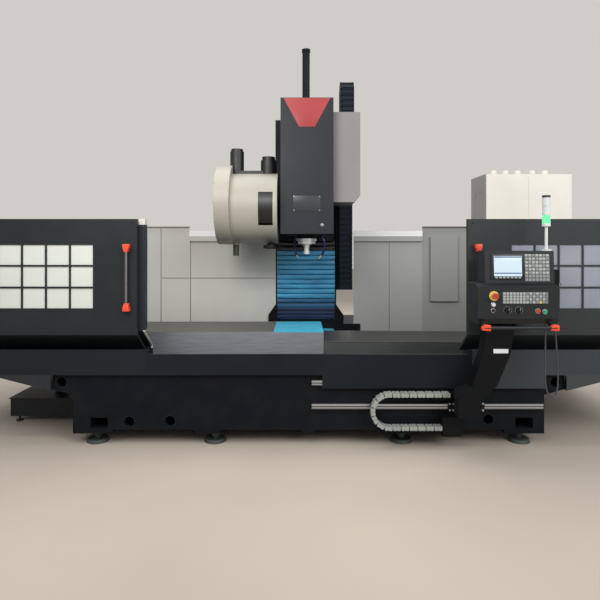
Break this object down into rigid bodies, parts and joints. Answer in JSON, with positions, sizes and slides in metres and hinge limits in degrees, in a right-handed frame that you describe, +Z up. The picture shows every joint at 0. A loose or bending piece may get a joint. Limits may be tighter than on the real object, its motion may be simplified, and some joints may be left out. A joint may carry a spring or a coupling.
{
  "type": "cnc machining center",
  "caption": "Vertical machining centre with a long sliding table, folding guideway covers, sliding splash-guard doors, side tool magazine and a control pendant on rails.",
  "frame": {"origin": "floor level, middle of the footprint", "axes": "+X to the operator's right along the table, +Y to the back of the machine, +Z up"},
  "size_m": [6.1, 3.02, 3.77],
  "materials": {
    "cast_black": "dark textured paint on castings",
    "guard_charcoal": "charcoal powder coat, fine texture",
    "pendant_black": "satin black",
    "cream": "light cream paint",
    "light_grey": "light grey paint",
    "ground_steel": "ground and scraped faces",
    "cover_steel": "brushed sheet steel",
    "blue_cover": "blue film over folded cover",
    "black_plastic": "matt black",
    "grey_chain": "light grey links",
    "cylinder_paint": "dark grey paint",
    "window": "clear sheet",
    "blue_plastic": "blue hose segments",
    "red_plastic": "red",
    "green_plastic": "green",
    "white_plastic": "white",
    "cord_rubber": "dark grey sheath"
  },
  "bodies": {
    "frame": {"bed": "cast_black", "levelling_feet": "cast_black", "column": "guard_charcoal", "guide_rails": "ground_steel", "axis_motors": "black_plastic", "left_guard": "guard_charcoal", "right_guard": "guard_charcoal", "back_guard": "cream", "front_apron": "guard_charcoal", "pendant_rails": "ground_steel", "chain_tray": "pendant_black", "electrical_cabinet": "cream", "coolant_tank": "pendant_black", "balance_cylinder": "cylinder_paint", "magazine_bracket": "guard_charcoal", "magazine_cover": "cream", "magazine_motors": "black_plastic", "cover_foot": "pendant_black", "pendant_chain": "grey_chain", "z_cover": "blue_cover", "z_chain": "black_plastic", "y_cover": "blue_cover"},
    "y_feed": {"y_screw": "ground_steel"},
    "z_feed": {"z_screw": "ground_steel"},
    "x_feed": {"x_screw": "ground_steel"},
    "saddle": {"saddle": "cast_black", "x_motor": "black_plastic", "x_cover_left": "cover_steel", "x_cover_right": "cover_steel"},
    "table": {"table": "ground_steel"},
    "head": {"head": "guard_charcoal", "head_cover": "guard_charcoal", "side_box": "light_grey", "spindle_motor": "black_plastic", "coolant_nozzles": "blue_plastic", "balance_rod": "ground_steel"},
    "spindle": {"spindle": "ground_steel"},
    "carousel": {"carousel": "cover_steel"},
    "change_arm": {"change_arm": "pendant_black"},
    "left_door": {"left_door": "guard_charcoal", "left_window": "window", "left_handle": "cover_steel"},
    "right_door": {"right_door": "guard_charcoal", "right_window": "window", "right_handle": "cover_steel"},
    "carriage": {"carriage": "pendant_black", "pendant_arm": "pendant_black"},
    "pendant": {"pendant_box": "pendant_black", "control_panel": "light_grey", "signal_tower": "light_grey", "handwheel_unit": "pendant_black", "handwheel_cord": "cord_rubber"},
    "emergency_stop": {"emergency_stop": "red_plastic"},
    "feed_knob": {"feed_knob": "black_plastic"},
    "speed_knob": {"speed_knob": "black_plastic"},
    "start_button": {"start_button": "green_plastic"},
    "stop_button": {"stop_button": "red_plastic"},
    "power_button": {"power_button": "white_plastic"},
    "reset_button": {"reset_button": "black_plastic"},
    "handwheel": {"handwheel_dial": "black_plastic"}
  },
  "joints": [
    {"name": "saddle_y", "type": "slide", "parent": "frame", "child": "saddle", "axis": [0, 1, 0], "range_m": [-0.23, 0.37], "deforming": ["y_cover"]},
    {"name": "table_x", "type": "slide", "parent": "saddle", "child": "table", "axis": [1, 0, 0], "range_m": [0, 2], "deforming": ["x_cover_right", "x_cover_left"]},
    {"name": "head_z", "type": "slide", "parent": "frame", "child": "head", "axis": [0, 0, 1], "range_m": [-0.57, 0], "deforming": ["z_cover", "z_chain"]},
    {"name": "y_feed_turn", "type": "hinge", "parent": "frame", "child": "y_feed", "pos_m": [0, -0.2125, 0.45], "axis": [0, 1, 0], "continuous": true},
    {"name": "z_feed_turn", "type": "hinge", "parent": "frame", "child": "z_feed", "pos_m": [0, 0.834, 2], "axis": [0, 0, 1], "continuous": true},
    {"name": "x_feed_turn", "type": "hinge", "parent": "saddle", "child": "x_feed", "pos_m": [0, -0.2125, 0.65], "axis": [1, 0, 0], "continuous": true},
    {"name": "spindle_spin", "type": "hinge", "parent": "head", "child": "spindle", "pos_m": [0, 0.088, 1.65], "axis": [0, 0, 1], "continuous": true},
    {"name": "carousel_turn", "type": "hinge", "parent": "frame", "child": "carousel", "pos_m": [-0.85, 0.088, 2.006], "axis": [1, 0, 0], "continuous": true},
    {"name": "arm_swing", "type": "hinge", "parent": "frame", "child": "change_arm", "pos_m": [-0.36, 0.088, 1.62], "axis": [0, 0, 1], "range_deg": [0, 90]},
    {"name": "left_door_slide", "type": "slide", "parent": "frame", "child": "left_door", "axis": [1, 0, 0], "range_m": [0, 1.355]},
    {"name": "right_door_slide", "type": "slide", "parent": "frame", "child": "right_door", "axis": [1, 0, 0], "range_m": [-1.27, 0]},
    {"name": "carriage_slide", "type": "slide", "parent": "frame", "child": "carriage", "axis": [1, 0, 0], "range_m": [-0.35, 0.4], "deforming": ["pendant_chain"]},
    {"name": "pendant_swivel", "type": "hinge", "parent": "carriage", "child": "pendant", "pos_m": [1.5, -1.27, 1.01], "axis": [0, 0, 1], "range_deg": [-14, 11]},
    {"name": "emergency_press", "type": "slide", "parent": "pendant", "child": "emergency_stop", "axis": [0, 1, 0], "range_m": [0, 0.006], "stiffness_N_per_m": 800},
    {"name": "start_press", "type": "slide", "parent": "pendant", "child": "start_button", "axis": [0, 1, 0], "range_m": [0, 0.004], "stiffness_N_per_m": 500},
    {"name": "stop_press", "type": "slide", "parent": "pendant", "child": "stop_button", "axis": [0, 1, 0], "range_m": [0, 0.004], "stiffness_N_per_m": 500},
    {"name": "power_press", "type": "slide", "parent": "pendant", "child": "power_button", "axis": [0, 1, 0], "range_m": [0, 0.004], "stiffness_N_per_m": 500},
    {"name": "reset_press", "type": "slide", "parent": "pendant", "child": "reset_button", "axis": [0, 1, 0], "range_m": [0, 0.004], "stiffness_N_per_m": 500},
    {"name": "feed_turn", "type": "hinge", "parent": "pendant", "child": "feed_knob", "pos_m": [1.449, -1.424, 1.122], "axis": [0, 1, 0], "range_deg": [-135, 135]},
    {"name": "speed_turn", "type": "hinge", "parent": "pendant", "child": "speed_knob", "pos_m": [1.53, -1.424, 1.122], "axis": [0, 1, 0], "range_deg": [-135, 135]},
    {"name": "handwheel_turn", "type": "hinge", "parent": "pendant", "child": "handwheel", "pos_m": [1.865, -1.305, 1.29], "axis": [1, 0, 0], "continuous": true}
  ],
  "couplings": [
    {"joint": "y_feed_turn", "follows": "saddle_y", "rad_per_m": 314.16},
    {"joint": "z_feed_turn", "follows": "head_z", "rad_per_m": 314.16},
    {"joint": "x_feed_turn", "follows": "table_x", "rad_per_m": 314.16}
  ]
}
